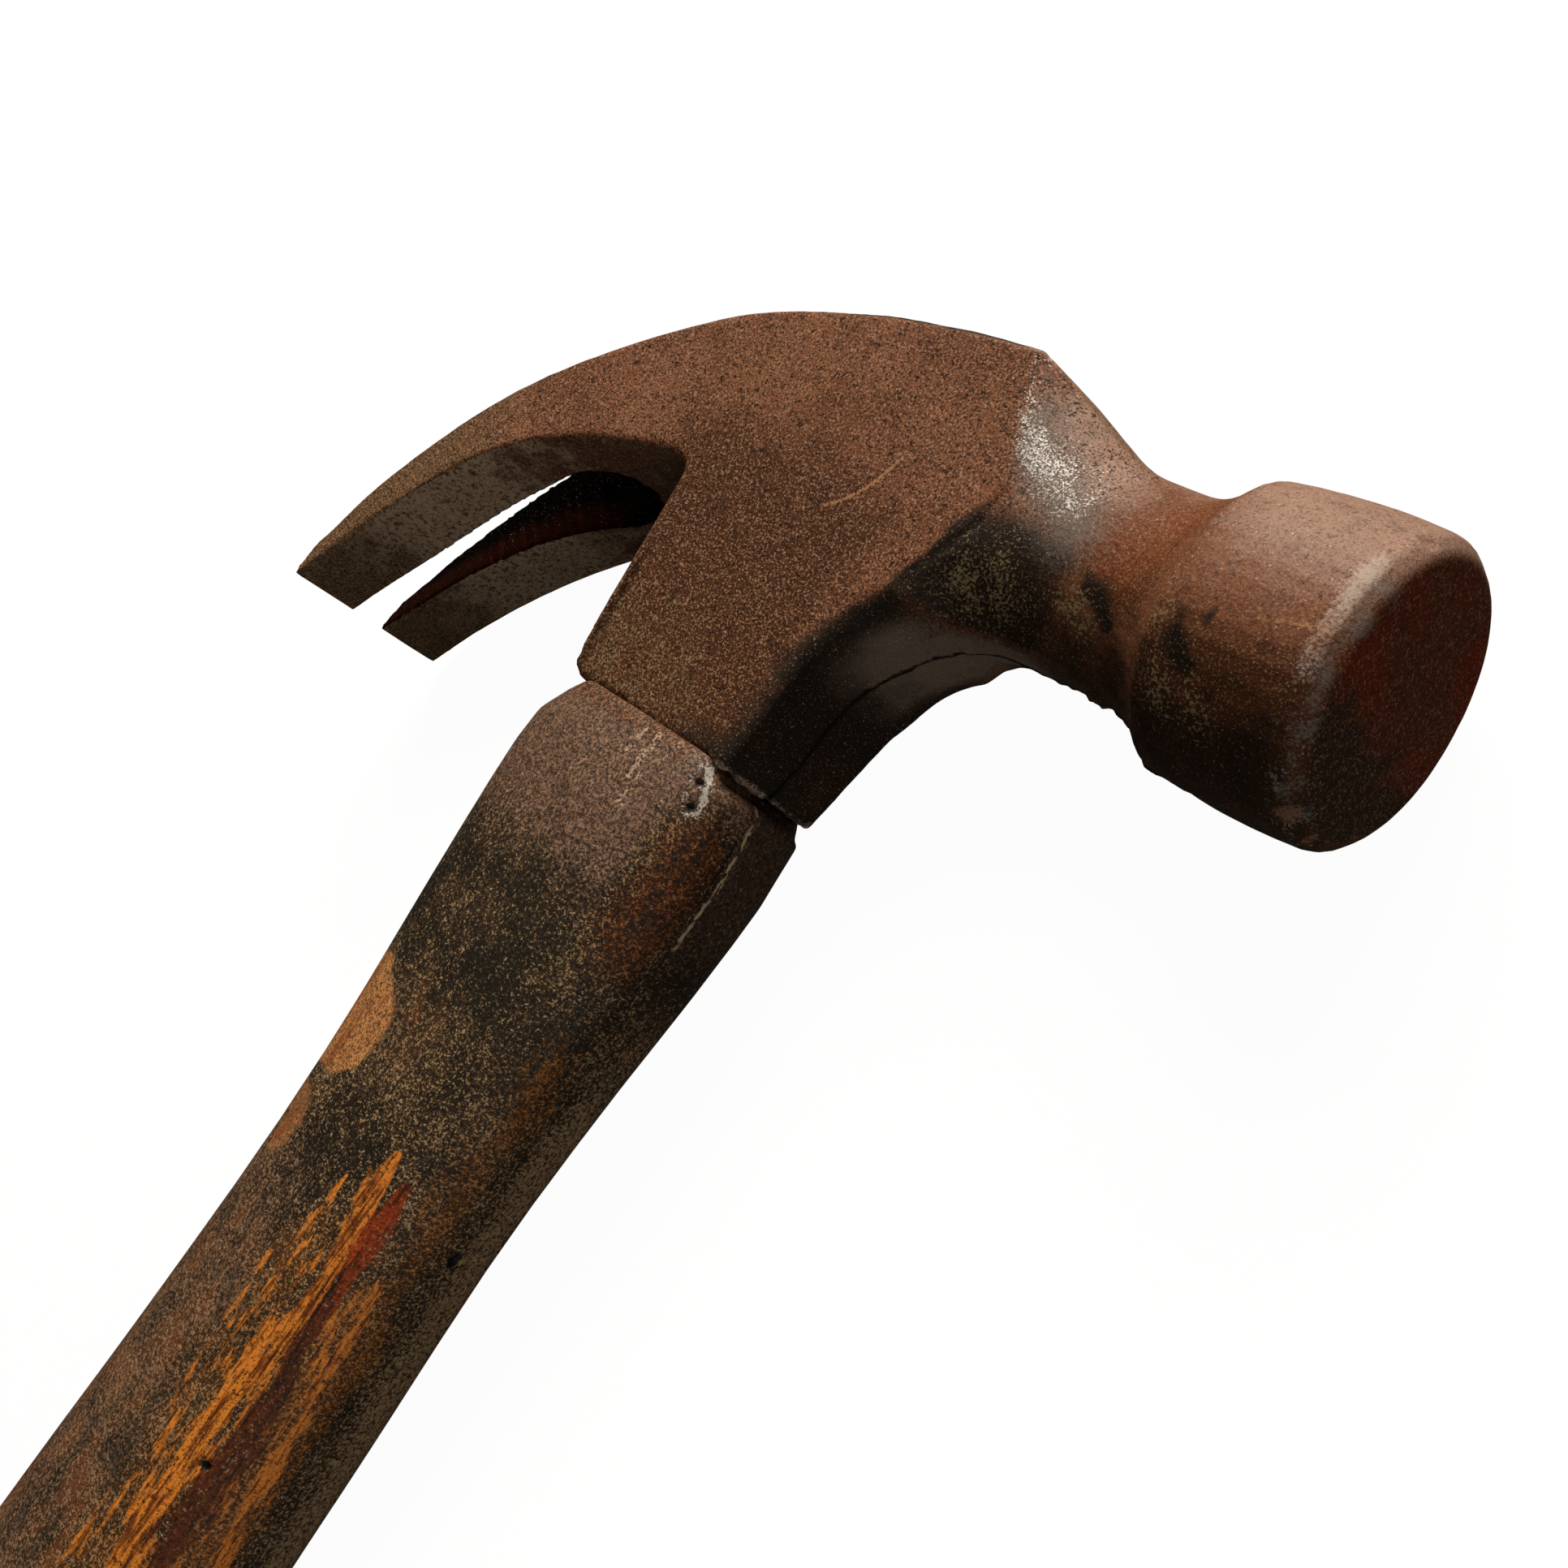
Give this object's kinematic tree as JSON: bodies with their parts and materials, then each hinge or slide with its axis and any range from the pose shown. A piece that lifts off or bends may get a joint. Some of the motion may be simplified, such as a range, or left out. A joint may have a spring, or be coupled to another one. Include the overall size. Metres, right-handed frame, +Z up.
{
  "type": "claw hammer",
  "caption": "Claw hammer lying on its side: browned forged steel head with a round striking face and a curved, slotted claw, on a dark wooden handle wedged into the eye.",
  "frame": {"origin": "bottom centre of the bounding box of the hammer lying on its side", "axes": "+X out through the striking face, +Y along the handle from the butt toward the head, +Z up through the upper cheek"},
  "size_m": [0.1274, 0.3296, 0.0286],
  "materials": {
    "browned_steel": "matte brown patina, rubbed to grey on the edges",
    "dark_wood": "old dark finish, worn to orange wood in streaks",
    "pale_wood": "sawn end grain",
    "wedge_steel": "dull, hammered flush"
  },
  "bodies": {
    "root": {"head": "browned_steel", "handle": "dark_wood", "kerf_wedge": "pale_wood", "steel_wedge_front": "wedge_steel", "steel_wedge_rear": "wedge_steel"}
  },
  "joints": []
}
